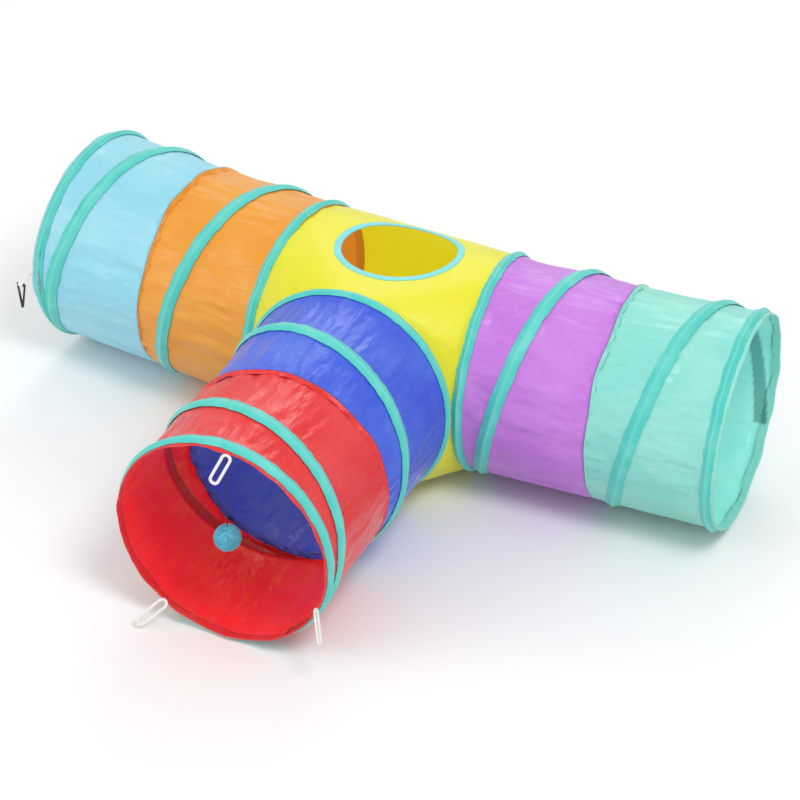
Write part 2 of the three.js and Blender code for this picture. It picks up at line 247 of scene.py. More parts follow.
def ripples(seed, terms, turns, pitch):
    """A random field over an arm that closes on itself: `turns` is the range of waves round it,
    and `pitch` the shortest wave along it, in metres."""
    rng = np.random.default_rng(seed)
    around = rng.integers(turns[0], turns[1] + 1, terms)
    along = rng.uniform(-TAU / pitch, TAU / pitch, terms)
    phase = rng.uniform(0, TAU, terms)

    def value(angle, distance):
        total = np.zeros(np.broadcast(angle, distance).shape)
        for m, k, p in zip(around, along, phase):
            total += np.cos(m * angle + k * distance + p)
        return total / math.sqrt(terms / 2)
    return value


def apply_modifiers(obj):
    """Leaves the object with the mesh that its modifiers make."""
    graph = bpy.context.evaluated_depsgraph_get()
    graph.update()
    made = bpy.data.meshes.new_from_object(obj.evaluated_get(graph))
    old = obj.data
    obj.modifiers.clear()
    obj.data = made
    bpy.data.meshes.remove(old)


# ---- materials -------------------------------------------------------------------------------

class Nodes:
    """A short way to write a material's nodes."""

    def __init__(self, name):
        self.material = bpy.data.materials.new(name)
        self.material.use_nodes = True
        self.tree = self.material.node_tree
        self.shader = self.tree.nodes["Principled BSDF"]

    def add(self, kind, inputs=None, **settings):
        node = self.tree.nodes.new(kind)
        for key, value in settings.items():
            setattr(node, key, value)
        for key, value in (inputs or {}).items():
            if isinstance(value, bpy.types.NodeSocket):
                self.tree.links.new(value, node.inputs[key])
            else:
                node.inputs[key].default_value = value
        return node

    def math(self, operation, a, b=0.0):
        return self.add("ShaderNodeMath", {0: a, 1: b}, operation=operation).outputs[0]

    def ramp(self, factor, low, high):
        return self.add("ShaderNodeMapRange", {"Value": factor, "From Min": low, "From Max": high},
                        clamp=True, interpolation_type="SMOOTHSTEP").outputs[0]

    def mix(self, factor, a, b):
        node = self.add("ShaderNodeMix", data_type="RGBA")
        for socket, value in (("Factor_Float", factor), ("A_Color", a), ("B_Color", b)):
            target = next(s for s in node.inputs if s.identifier == socket)
            if isinstance(value, bpy.types.NodeSocket):
                self.tree.links.new(value, target)
            else:
                target.default_value = value
        return next(s for s in node.outputs if s.identifier == "Result_Color")

    def scaled(self, vector, x, y, z=1.0):
        return self.add("ShaderNodeMapping", {"Vector": vector, "Scale": (x, y, z)}).outputs[0]

    def noise(self, vector, scale, detail=3.0, rough=0.5):
        return self.add("ShaderNodeTexNoise", {"Vector": vector, "Scale": scale, "Detail": detail,
                                               "Roughness": rough}).outputs["Fac"]

    def cloth_uv(self):
        return self.add("ShaderNodeUVMap", uv_map="cloth").outputs[0]

    def position(self):
        return self.add("ShaderNodeTexCoord").outputs["Object"]

    def bump(self, height, strength, distance, normal=None):
        inputs = {"Height": height, "Strength": strength, "Distance": distance}
        if normal is not None:
            inputs["Normal"] = normal
        return self.add("ShaderNodeBump", inputs).outputs[0]

    def link(self, socket, name):
        self.tree.links.new(socket, self.shader.inputs[name])

    def constant(self, **values):
        for name, value in values.items():
            self.shader.inputs[name.replace("_", " ")].default_value = value


def linear(rgb):
    """An sRGB colour, 0 to 255 a channel, as the shader's linear one."""
    channels = [c / 255 for c in rgb]
    return tuple(c / 12.92 if c <= 0.04045 else ((c + 0.055) / 1.055) ** 2.4
                 for c in channels) + (1.0,)


def taffeta(name, base, pale, deep, rough=(0.34, 0.5), slub=0.25, crinkle=0.35, flat_uv=True):
    """Thin woven polyester: fine plain weave, slubs along the warp, a blotchy sheen and crinkles.
    `shade` on the mesh is painted shade: it darkens the cloth's inside where doubled cloth and tape keep out light
    from behind."""
    n = Nodes(name)
    cloth = n.cloth_uv() if flat_uv else n.position()
    warp = n.noise(n.scaled(cloth, 2600, 90, 2600), 1.0, 2.0)
    weft = n.noise(n.scaled(cloth, 90, 2600, 90), 1.0, 2.0)
    cloud = n.noise(cloth, 14.0, 3.0)
    blotch = n.noise(n.scaled(cloth, 1.0, 0.45, 1.0), 46.0, 4.0, 0.62)
    colour = n.mix(n.math("MULTIPLY", n.ramp(warp, 0.35, 0.8), slub), linear(base), linear(pale))
    colour = n.mix(n.math("MULTIPLY", n.ramp(weft, 0.45, 0.85), slub * 0.6), colour, linear(deep))
    colour = n.mix(n.math("MULTIPLY", n.ramp(cloud, 0.35, 0.7), 0.3), colour, linear(pale))
    shade = n.add("ShaderNodeAttribute", attribute_name="shade").outputs["Fac"]
    # Painted shade: the colour that `shade` mixes into the cloth.
    painted_shade_colour = tuple(c * 0.42 for c in linear(deep)[:3]) + (1.0,)
    n.link(n.mix(shade, colour, painted_shade_colour), "Base Color")
    sheen = n.add("ShaderNodeMapRange", {"Value": n.ramp(blotch, 0.42, 0.62), "To Min": rough[1],
                                         "To Max": rough[0]}).outputs[0]
    n.link(sheen, "Roughness")
    folds = n.noise(n.scaled(cloth, 1.0, 0.35, 1.0), 70.0, 2.5, 0.55)
    threads = n.math("ADD", warp, weft)
    normal = n.bump(threads, 0.25, 0.15 * MM)
    normal = n.bump(folds, crinkle, 3 * MM, normal)
    n.link(normal, "Normal")
    # Painted light: `through` makes the cloth's inside glow in its own colour, standing in for daylight that comes
    # through it.
    n.constant(Specular_IOR_Level=0.45, Sheen_Weight=0.12, Sheen_Roughness=0.4,
               Emission_Color=linear(base))
    n.link(n.add("ShaderNodeAttribute", attribute_name="through").outputs["Fac"],
           "Emission Strength")
    return n.material


def tape_material(name, base, pale, deep):
    """Ribbed polyester binding: ribs across its width, and a painted highlight that makes the crown paler than the
    edges.
    """
    n = Nodes(name)
    cloth = n.cloth_uv()
    ribs = n.noise(n.scaled(cloth, 1500, 160), 1.0, 2.0)
    cloud = n.noise(cloth, 30.0, 3.0)
    colour = n.mix(n.math("MULTIPLY", n.ramp(ribs, 0.35, 0.7), 0.35), linear(base), linear(deep))
    colour = n.mix(n.math("MULTIPLY", n.ramp(cloud, 0.4, 0.7), 0.3), colour, linear(pale))
    # Painted highlight: `shade` lightens the tape's crown towards the pale colour.
    crown = n.add("ShaderNodeAttribute", attribute_name="shade").outputs["Fac"]
    n.link(n.mix(crown, colour, linear(pale)), "Base Color")
    n.link(n.bump(ribs, 0.4, 0.2 * MM), "Normal")
    n.constant(Roughness=0.5, Specular_IOR_Level=0.4, Sheen_Weight=0.2, Sheen_Roughness=0.4)
    return n.material


def woven_material(name, base, deep, rough=0.7):
    """Knitted or woven narrow elastic."""
    n = Nodes(name)
    place = n.position()
    cords = n.noise(n.scaled(place, 900, 900, 2600), 1.0, 2.0)
    n.link(n.mix(n.math("MULTIPLY", n.ramp(cords, 0.35, 0.7), 0.6), linear(base), linear(deep)),
           "Base Color")
    n.link(n.bump(cords, 0.5, 0.2 * MM), "Normal")
    n.constant(Roughness=rough, Sheen_Weight=0.15)
    return n.material


def steel_material(name, base, rough):
    n = Nodes(name)
    place = n.position()
    drawn = n.noise(n.scaled(place, 300, 300, 300), 1.0, 4.0)
    n.link(n.mix(n.ramp(drawn, 0.35, 0.7), linear(base), linear([c * 0.8 for c in base])),
           "Base Color")
    n.link(n.bump(drawn, 0.2, 0.05 * MM), "Normal")
    n.constant(Metallic=1.0, Roughness=rough)
    return n.material


def plastic_material(name, base, rough=0.42):
    n = Nodes(name)
    grain = n.noise(n.position(), 1800.0, 2.0)
    n.link(n.mix(n.ramp(grain, 0.3, 0.8), linear(base), linear([c + 14 for c in base])),
           "Base Color")
    n.link(n.bump(grain, 0.25, 0.05 * MM), "Normal")
    n.constant(Roughness=rough)
    return n.material


MATERIALS = {
    "yellow": taffeta("yellow_taffeta", (222, 217, 28), (228, 226, 80), (206, 198, 10),
                      (0.42, 0.5), slub=0.12, crinkle=0.1, flat_uv=False),
    "orange": taffeta("orange_taffeta", (226, 146, 36), (236, 178, 88), (210, 124, 16),
                      crinkle=0.5),
    "sky_blue": taffeta("sky_blue_taffeta", (134, 204, 224), (176, 222, 230), (112, 190, 218),
                        slub=0.5, crinkle=0.5),
    "purple": taffeta("purple_taffeta", (186, 108, 210), (208, 152, 222), (168, 86, 200),
                      slub=0.5, crinkle=0.55),
    "mint": taffeta("mint_taffeta", (120, 208, 194), (172, 226, 216), (96, 198, 184),
                    slub=0.55, crinkle=0.5),
    "blue": taffeta("blue_taffeta", (50, 80, 208), (104, 142, 232), (38, 58, 184),
                    (0.2, 0.4), slub=0.3, crinkle=0.9),
    "red": taffeta("red_taffeta", (218, 28, 32), (232, 96, 92), (196, 14, 20),
                   (0.2, 0.4), slub=0.3, crinkle=0.9),
    "tape": tape_material("teal_tape", (68, 196, 186), (134, 220, 208), (48, 178, 170)),
    "window_tape": tape_material("cyan_tape", (120, 212, 214), (150, 226, 226), (96, 198, 202)),
    "wire": steel_material("spring_steel", (158, 160, 163), 0.34),
    "ferrule": steel_material("plated_crimp", (190, 192, 194), 0.42),
    "elastic": woven_material("black_elastic", (24, 24, 27), (8, 8, 9)),
    "pompom": woven_material("pompom_yarn", (104, 192, 214), (76, 168, 196), 0.9),
    "white_tape": woven_material("white_elastic", (236, 236, 233), (206, 206, 202)),
    "hook": plastic_material("black_plastic", (22, 22, 22)),
}


def finish_piece(obj, slot, body, *nodes):
    """Gives a piece its material and its body, and hides the CAD nodes it stands for."""
    obj.data.materials.clear()
    obj.data.materials.append(MATERIALS[slot])
    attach(obj, body)
    if nodes:
        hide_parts(*nodes)


def fold_with(obj, arm, anchor):
    """Gives the piece its own copy of its mesh."""
    tuple(arm.axis_point(anchor))
    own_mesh(obj)


# ---- camera and light ------------------------------------------------------------------------

def make_camera():
    """A long lens, about 25 degrees round to the right and 36 above the floor."""
    turn, rise, roll = math.radians(24.78), math.radians(35.79), math.radians(0.90)
    away, aside, lift = 3.5558, -0.00619, 0.07031
    back = np.array([math.sin(turn) * math.cos(rise), -math.cos(turn) * math.cos(rise),
                     math.sin(rise)])
    right = np.array([math.cos(turn), math.sin(turn), 0.0])
    up = np.cross(back, right)
    right, up = (math.cos(roll) * right + math.sin(roll) * up,
                 -math.sin(roll) * right + math.cos(roll) * up)
    centre = back * away - aside * right - lift * up + AXIS_HEIGHT * UP
    data = bpy.data.cameras.new("camera")
    data.lens = 142.97
    data.sensor_width = 36
    data.clip_end = 50
    camera = bpy.data.objects.new("camera", data)
    bpy.context.collection.objects.link(camera)
    turn_matrix = Matrix([right, up, back]).transposed().to_4x4()
    camera.matrix_world = Matrix.Translation(Vector(centre)) @ turn_matrix
    bpy.context.scene.camera = camera


def make_light():
    def area(name, place, size, power, colour=(1, 1, 1)):
        data = bpy.data.lights.new(name, "AREA")
        data.shape = "DISK"
        data.size = size
        data.energy = power
        data.color = colour
        lamp = bpy.data.objects.new(name, data)
        bpy.context.collection.objects.link(lamp)
        lamp.location = place
        aim = Vector((0, -0.05, 0.1)) - Vector(place)
        lamp.rotation_euler = aim.to_track_quat("-Z", "Y").to_euler()

    area("key", (1.3, -1.0, 2.6), 1.0, 32)
    area("fill", (-1.8, -2.0, 1.6), 1.8, 20)
    area("rim", (-0.6, 2.2, 1.8), 1.6, 16)
    world = bpy.data.worlds.new("studio")
    world.use_nodes = True
    world.node_tree.nodes["Background"].inputs["Color"].default_value = (1, 1, 1, 1)
    world.node_tree.nodes["Background"].inputs["Strength"].default_value = 0.7
    bpy.context.scene.world = world
    bpy.context.scene.view_settings.view_transform = "Standard"


def make_floor():
    half = 3.0
    floor = mesh_object("floor", [(-half, -half, 0), (half, -half, 0), (half, half, 0),
                                  (-half, half, 0)], [(0, 1, 2, 3)], smooth=False)
    floor.location.z = -0.2 * MM
    n = Nodes("pale_floor")
    n.constant(Base_Color=(0.9, 0.9, 0.9, 1), Roughness=0.9)
    floor.data.materials.append(n.material)


# ---- pompom and its elastic ------------------------------------------------------------------

def make_pompom():
    low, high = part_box("pompom_cord")
    x, y, top, length = (low.x + high.x) / 2, (low.y + high.y) / 2, high.z, high.z - low.z
    curve = bpy.data.curves.new("pompom_elastic", "CURVE")
    curve.dimensions = "3D"
    curve.bevel_depth = ELASTIC_DIAMETER / 2
    curve.bevel_resolution = 3
    curve.use_fill_caps = True
    steps = 24
    line = curve.splines.new("POLY")
    line.points.add(steps)
    for i in range(steps + 1):
        t = i / steps
        sway = 0.25 * MM * math.sin(3 * math.pi * t)
        line.points[i].co = (x + sway, y, top - length * t, 1)
    cord = bpy.data.objects.new("pompom_elastic", curve)
    bpy.context.collection.objects.link(cord)
    finish_piece(cord, "elastic", "pompom", "pompom_cord")

    low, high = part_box("pompom_ball")
    ball = make_tufts("pompom_tufts", np.array((low + high) / 2))
    finish_piece(ball, "pompom", "pompom", "pompom_ball")

    low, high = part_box("pompom_knot")
    knot = make_knot("pompom_knot_tied", np.array((low + high) / 2))
    finish_piece(knot, "elastic", "pompom_swivel", "pompom_knot")


def make_tufts(name, centre):
    """A trimmed yarn ball: a lumpy core with hundreds of short pointed strands."""
    rng = np.random.default_rng(5)
    core = bmesh.new()
    bmesh.ops.create_icosphere(core, subdivisions=4, radius=1.0)
    points = np.array([v.co for v in core.verts])
    faces = [[v.index for v in f.verts] for f in core.faces]
    core.free()
    lumps = sum(np.cos(points @ rng.normal(0, 5, 3) + rng.uniform(0, TAU)) for _ in range(12)) / 12
    points = points * (POMPOM_RADIUS * (0.86 + 0.05 * lumps))[:, None]
    all_points, all_faces = [points], list(faces)
    golden = math.pi * (3 - math.sqrt(5))
    offset = len(points)
    for i in range(TUFTS):
        z = 1 - 2 * (i + 0.5) / TUFTS
        ring = math.sqrt(1 - z * z)
        aim = np.array([ring * math.cos(golden * i), ring * math.sin(golden * i), z])
        aim = aim + rng.normal(0, 0.10, 3)
        aim /= np.linalg.norm(aim)
        side = np.cross(aim, rng.normal(0, 1, 3))
        side /= np.linalg.norm(side)
        other = np.cross(aim, side)
        length = POMPOM_RADIUS * rng.uniform(0.93, 1.0)
        bend = rng.normal(0, 0.35 * MM, 2)
        for share, width in ((0.72, 0.52), (0.9, 0.5), (1.0, 0.16)):
            middle = aim * length * share + (side * bend[0] + other * bend[1]) * share ** 4
            for k in range(4):
                a = TAU * k / 4
                all_points.append((middle + (side * math.cos(a) + other * math.sin(a))
                                   * width * MM)[None])
        for level in range(2):
            for k in range(4):
                a, b = offset + level * 4 + k, offset + level * 4 + (k + 1) % 4
                all_faces.append([a, b, b + 4, a + 4])
        all_faces.append([offset + k for k in (3, 2, 1, 0)])
        all_faces.append([offset + 8 + k for k in range(4)])
        offset += 12
    return mesh_object(name, np.concatenate(all_points) + centre, all_faces)


def make_knot(name, centre):
    """A small overhand knot: a tight trefoil of elastic."""
    steps, sides = 72, 8
    t = np.linspace(0, TAU, steps, endpoint=False)
    path = np.stack([np.sin(t) + 2 * np.sin(2 * t), np.cos(t) - 2 * np.cos(2 * t),
                     -1.6 * np.sin(3 * t)], -1) * 0.42 * MM + centre
    tangent = np.roll(path, -1, 0) - np.roll(path, 1, 0)
    tangent /= np.linalg.norm(tangent, axis=1)[:, None]
    side = np.cross(tangent, np.array([0.13, 0.21, 0.97]))
    side /= np.linalg.norm(side, axis=1)[:, None]
    other = np.cross(tangent, side)
    angle = np.arange(sides) * TAU / sides
    points = path[:, None] + ELASTIC_DIAMETER / 2 * (
        side[:, None] * np.cos(angle)[None, :, None]
        + other[:, None] * np.sin(angle)[None, :, None])
    return mesh_object(name, points, ring_faces(steps, sides, closed_rows=True, flip=True))


# ---- arm panels ------------------------------------------------------------------------------

def panel(arm, which, seed):
    """One colour of an arm: cloth stretched over the wires, a little slack between them, with
    puckers along each tape, soft pulls along the arm and a channel inside under the spiral."""
    around = 288
    pitch = 2.1 * MM
    angle = np.arange(around) * TAU / around
    waver = seam_waver(arm)(angle)
    if which == "inner":
        low, high = np.full(around, arm.start + 1.5 * MM), arm.seam - SEAM_GAP + waver
    else:
        low, high = arm.seam + SEAM_GAP + waver, arm.end + mouth_waver(arm)(angle)
    rows = int((high.mean() - low.mean()) / pitch) + 1
    t = np.linspace(0, 1, rows)[:, None]
    distance = low[None] * (1 - t) + high[None] * t
    angle = np.broadcast_to(angle, distance.shape)

    below, above, near, wire = arm.from_supports(distance, angle)
    free = smoothstep(7.8 * MM, 18 * MM, near)
    span = np.maximum(below + above, 1 * MM)
    belly = 4 * (below / span) * (above / span) * np.minimum(span / (120 * MM), 1)
    down = -np.cos(angle)
    radius = CLOTH_RADIUS + belly * (-1.5 * MM + 2.2 * MM * down)
    radius += free * 0.55 * MM * ripples(seed, 26, (5, 26), 260 * MM)(angle, distance)
    radius += free * 0.30 * MM * ripples(seed + 1, 40, (14, 60), 60 * MM)(angle, distance)
    crease = ripples(seed + 2, 24, (6, 30), 110 * MM)(angle, distance)
    radius -= free * 0.5 * MM * np.exp(-(crease / 0.45) ** 2)
    pucker = np.abs(ripples(seed + 3, 24, (36, 96), 900 * MM)(angle, distance))
    hug = smoothstep(7 * MM, 9 * MM, near) * np.exp(-np.maximum(near - 9 * MM, 0) / (9 * MM))
    radius -= hug * 0.45 * MM * pucker
    to_seam = np.abs(distance - (arm.seam + waver[None]))
    gather = np.abs(ripples(seed + 9, 18, (26, 70), 900 * MM)(angle, distance))
    radius -= 0.35 * MM * np.exp(-(to_seam / (2.4 * MM)) ** 2)
    pull, spread = (1.0 * MM, 14 * MM) if which == "inner" else (0.5 * MM, 9 * MM)
    radius -= pull * gather * np.exp(-to_seam / spread)
    radius += free * 0.11 * MM * ripples(seed + 4, 60, (34, 92), 24 * MM)(angle, distance)
    radius = np.minimum(radius - free * SLACK, CLOTH_RADIUS + 0.02 * MM)
    floor_limit = (AXIS_HEIGHT - 0.3 * MM) / np.maximum(down, 0.2)
    radius = np.minimum(radius, floor_limit)

    channel = smoothstep(8.2 * MM, 6.6 * MM, wire) * CHANNEL_DEPTH
    ring = smoothstep(RING_TAPE + 1.5 * MM, RING_TAPE - 0.5 * MM, distance - arm.start) * 0.8 * MM
    hem_edge = HEM + 0.7 * MM * ripples(seed + 5, 8, (5, 19), 900 * MM)(angle, distance)
    hem = smoothstep(hem_edge + 0.5 * MM, hem_edge - 0.5 * MM, arm.end - distance) * HEM_DEPTH
    inside = radius - CLOTH_THICKNESS - np.maximum(np.maximum(channel, ring), hem)
    stitch_line = np.exp(-((arm.end - distance - hem_edge + 1.6 * MM) / (0.7 * MM)) ** 2)
    inside += stitch_line * 0.5 * MM

    points = np.stack([arm.points(distance, radius, angle), arm.points(distance, inside, angle)])
    faces = two_skins(rows, around)
    # Painted shade: the cloth's inside is darkened along the spiral's channel, the ring's band, the hem and its
    # stitch line, where doubled cloth and tape keep out light from behind; `lit` dims the painted glow there too.
    shade = (channel / CHANNEL_DEPTH * 0.72 + (ring + hem) / MM * 0.45 + stitch_line * 0.5)
    shade = shade.clip(0, 1)
    lit = THROUGH[getattr(arm, which)] * (1 - shade * 0.8)
    outside = np.zeros_like(shade)
    return mesh_object(f"{arm.side}_{getattr(arm, which)}_cloth", points, faces,
                       unrolled(faces, around, distance - arm.start),
                       shade=np.stack([outside, shade]), through=np.stack([outside, lit]))


def unrolled(faces, around, along):
    """The cloth's own flat coordinates, in metres round and along, one pair per face corner."""
    flat = faces % along.size
    column = flat % around
    u = column * (TAU * CLOTH_RADIUS / around)
    wraps = (column.max(1) - column.min(1)) > around / 2
    u = u + np.where(wraps[:, None] & (column < around / 2), TAU * CLOTH_RADIUS, 0.0)
    return np.stack([u, along.ravel()[flat]], -1)


def seam_waver(arm):
    """How the sewn line between two colours wanders round an arm."""
    wave = ripples(ord(arm.side[0]), 9, (3, 13), 1.0)
    return lambda angle: 0.9 * MM * wave(angle, 0.0)


def mouth_waver(arm):
    """How far the mouth's raw edge stands past its ring."""
    wave = ripples(ord(arm.side[0]) + 40, 12, (4, 17), 1.0)
    return lambda angle: RAW_EDGE[arm.side] + 0.8 * MM * np.clip(wave(angle, 0.0), -0.6, 1.6)


def make_panels(arm, seed):
    inner = panel(arm, "inner", seed)
    finish_piece(inner, arm.inner, "hub", f"{arm.side}_{arm.inner}_panel")
    fold_with(inner, arm, arm.start)
    outer = panel(arm, "outer", seed + 10)
    finish_piece(outer, arm.outer, f"{arm.side}_mid", f"{arm.side}_{arm.outer}_panel")
    fold_with(outer, arm, arm.seam)


def seam_edge(arm, which, seed):
    """One raw edge of the seam, ruffled, standing up inside the arm and leaning to its own side."""
    around, rows = 360, 7
    angle = np.broadcast_to(np.arange(around) * TAU / around, (rows, around))
    t = np.linspace(0, 1, rows)[:, None]
    lean = -1 if which == "inner" else 1
    ruffle = ripples(seed, 22, (16, 46), 1.0)(angle, 0.0)
    depth = SEAM_DEPTH * (1 + 0.10 * ripples(seed + 1, 14, (9, 40), 1.0)(angle, 0.0))
    depth = depth * (0.7 if which == "inner" else 0.45)
    middle = arm.seam + seam_waver(arm)(angle)
    distance = middle + lean * (0.5 * MM + t * (3.6 * MM + 0.6 * MM * ruffle))
    radius = CLOTH_RADIUS - 1.0 * MM - t * depth + t * 0.7 * MM * ruffle
    thick = 0.4 * MM
    points = np.stack([arm.points(distance + thick / 2, radius, angle),
                       arm.points(distance - thick / 2, radius, angle)])
    faces = two_skins(rows, around, flip=True)
    made = mesh_object(f"{arm.side}_{getattr(arm, which)}_seam_edge", points, faces,
                       unrolled(faces, around, np.broadcast_to(t * SEAM_DEPTH, angle.shape)))
    nodes = (f"{arm.side}_seam_band",) if which == "inner" else ()
    finish_piece(made, getattr(arm, which), f"{arm.side}_mid", *nodes)


# ---- binding tape and wire -------------------------------------------------------------------

def tape_profile(crown, width):
    """(offset across, radius, how much of the crown it is), anticlockwise from the left foot: a
    broad tent over the wire, with a stitched groove along each foot."""
    rise = crown - RING_CROWN
    half = width / MM / 2
    outer = [(half, 121.3, 0), (half - 0.12, 121.7, 0), (half - 0.9, 121.98, 0.1),
             (half - 1.5, 121.92, 0), (half - 2.1, 122.2, 0.1), (half * 0.42, 123.2, 0.3),
             (half * 0.25, 124.0, 0.55), (0.9, 124.72, 0.8), (0, 125.0, 1)]
    outer = outer + [(-x, r, c) for x, r, c in reversed(outer[:-1])]
    inner = [(-half + 0.2, 121.2, 0), (-2.1, 121.2, 0), (-1.3, 123.4, 0), (0, 124.1, 0),
             (1.3, 123.4, 0), (2.1, 121.2, 0), (half - 0.2, 121.2, 0)]
    profile = np.array(outer + inner, float)
    profile[:, :2] *= MM
    profile[:, 1] += rise * smoothstep(122 * MM, 124 * MM, profile[:, 1])
    return profile


def strip_uv(faces, columns, rows, pitch, profile):
    """Flat coordinates of a strip: along its run, then across its outline."""
    outline = np.concatenate([[0], np.cumsum(np.hypot(*np.diff(profile[:, :2], axis=0).T))])
    row, column = faces // columns, faces % columns
    wraps = (row.max(1) - row.min(1)) > rows / 2
    u = (row + np.where(wraps[:, None] & (row < rows / 2), rows, 0)) * pitch
    turn = (column.max(1) - column.min(1)) > columns / 2
    total = outline[-1] + 0.2 * MM
    v = outline[column] + np.where(turn[:, None] & (column < columns / 2), total, 0.0)
    return np.stack([u, v], -1)


def ring_tape(arm, name, middle, width, seed):
    """Binding over a ring's wire, with edges that wander a little and pucker at the stitches."""
    rows = 320
    profile = tape_profile(RING_CROWN, width)
    columns = len(profile)
    angle = (np.arange(rows) * TAU / rows)[:, None]
    offset, radius, crown = profile.T
    wander = 0.22 * MM * ripples(seed, 12, (4, 22), 1.0)(angle, 0.0)
    edge = 0.25 * MM * ripples(seed + 1, 20, (14, 60), 1.0)(angle, 0.0)
    pull = 0.10 * MM * ripples(seed + 2, 20, (50, 110), 1.0)(angle, 0.0)
    share = np.abs(offset) / (width / 2)
    distance = middle + offset + wander + np.sign(offset) * edge * share ** 4
    height = radius + pull * (radius > 121.6 * MM) * (1 - crown * 0.7)
    height = np.minimum(height, RING_CROWN)
    points = arm.points(distance, height, angle)
    faces = ring_faces(rows, columns, closed_rows=True)
    uvs = strip_uv(faces, columns, rows, TAU * CLOTH_RADIUS / rows, profile)
    # Painted highlight on the tape's crown, read by the material from `shade`.
    shade = np.tile(crown * 0.4, rows)
    return mesh_object(name, points, faces, uvs, shade=shade)


def spiral_tape(arm, seed):
    """Binding along the spiral wire, running in under the rings' bindings at both ends."""
    rows = 560
    profile = tape_profile(SPIRAL_CROWN, SPIRAL_TAPE)
    columns = len(profile)
    t = np.linspace(0, 1, rows)[:, None]
    angle = arm.spiral_angle + t * arm.spiral_turn
    offset, radius, crown = profile.T
    wander = 0.3 * MM * ripples(seed, 14, (2, 20), 1.0)(angle, 0.0)
    edge = 0.3 * MM * ripples(seed + 1, 24, (14, 60), 1.0)(angle, 0.0)
    pull = 0.10 * MM * ripples(seed + 2, 20, (50, 110), 1.0)(angle, 0.0)
    share = np.abs(offset) / (SPIRAL_TAPE / 2)
    distance = (arm.spiral_distance(angle) + offset + wander
                + np.sign(offset) * edge * share ** 4)
    tuck = 0.03 * offset
    low = arm.leant(arm.start + 1.2 * MM, CLOTH_RADIUS, angle) + tuck
    distance = np.clip(distance, low, arm.end - LIP - 1.2 * MM + tuck)
    height = radius + pull * (radius > 121.6 * MM) * (1 - crown * 0.7)
    points = arm.upright(distance, height, angle)
    quads = ring_faces(rows, columns)
    first_cap = list(range(columns))
    last_cap = [(rows - 1) * columns + k for k in reversed(first_cap)]
    length = arm.spiral_turn * CLOTH_RADIUS
    uvs = strip_uv(quads, columns, rows * 3, length / rows, profile).reshape(-1, 2)
    cap_run = np.tile(np.arange(1, columns + 1) * MM, 2)
    uvs = np.concatenate([uvs, np.stack([np.zeros_like(cap_run), cap_run], -1)])
    # `shade` carries a painted highlight on the tape's crown.
    return mesh_object(f"{arm.side}_spiral_tape", points, quads.tolist() + [first_cap, last_cap],
                       uvs, shade=np.tile(crown * 0.4, rows))


def spiral_wire(arm):
    """The round spring wire inside the spiral's tape."""
    rows, sides = 420, 8
    t = np.linspace(0, 1, rows)
    angle = arm.spiral_angle + t * arm.spiral_turn
    along = arm.spiral_distance(angle)
    clear = (along > arm.leant(arm.start + RING_TAPE + 3 * MM, WIRE_CENTRE, angle)) & (
        along < arm.last_wire - MOUTH_TAPE[arm.side] / 2 - 2.5 * MM)
    angle = np.linspace(angle[clear].min(), angle[clear].max(), rows)
    section = np.arange(sides) * TAU / sides
    distance = arm.spiral_distance(angle)[:, None] + WIRE_RADIUS * np.cos(section)
    radius = WIRE_CENTRE + WIRE_RADIUS * np.sin(section)[None]
    points = arm.upright(distance, np.broadcast_to(radius, distance.shape), angle[:, None])
    faces = ring_faces(rows, sides, flip=True).tolist()
    faces.append(list(reversed(range(sides))))
    faces.append([(rows - 1) * sides + k for k in range(sides)])
    return mesh_object(f"{arm.side}_spiral_spring", points, faces)


def make_tapes(arm, seed):
    side = arm.side
    for place, body, middle, width, seed_step in (
            ("inner", "hub", arm.first_wire, RING_TAPE, 0),
            ("end", f"{side}_end", arm.last_wire, MOUTH_TAPE[side], 5)):
        tape = ring_tape(arm, f"{side}_{place}_ring_tape", middle, width, seed + seed_step)
        finish_piece(tape, "tape", body, f"{side}_{place}_ring_binding")
    tape = spiral_tape(arm, seed + 11)
    finish_piece(tape, "tape", "hub", f"{side}_spiral_binding")
    wire = spiral_wire(arm)
    finish_piece(wire, "wire", "hub", f"{side}_spiral_wire")
    for piece in (tape, wire):
        fold_with(piece, arm, arm.first_wire)


# ---- hub -------------------------------------------------------------------------------------

def hub_form():
    """The cloth's outer shape before it is cut: a tight skin over the three rings and the floor."""
    over = 6 * MM
    work = bmesh.new()
    angle = np.linspace(0, TAU, 120, endpoint=False)
    for arm in ARMS:
        for p in arm.points(arm.start + over, CLOTH_RADIUS - 0.1 * MM, angle):
            work.verts.new(p)
    for a in np.linspace(0, TAU, 40, endpoint=False):
        work.verts.new((60 * MM * math.cos(a), 60 * MM * math.sin(a), 0.5 * MM))
    bmesh.ops.convex_hull(work, input=work.verts)
    mesh = bpy.data.meshes.new("hub_form")
    work.to_mesh(mesh)
    work.free()
    form = bpy.data.objects.new("hub_form", mesh)
    bpy.context.collection.objects.link(form)
    remesh = form.modifiers.new("even", "REMESH")
    remesh.mode = "VOXEL"
    remesh.voxel_size = 3 * MM
    relax = form.modifiers.new("soft", "SMOOTH")
    relax.iterations = 8
    apply_modifiers(form)
    return form


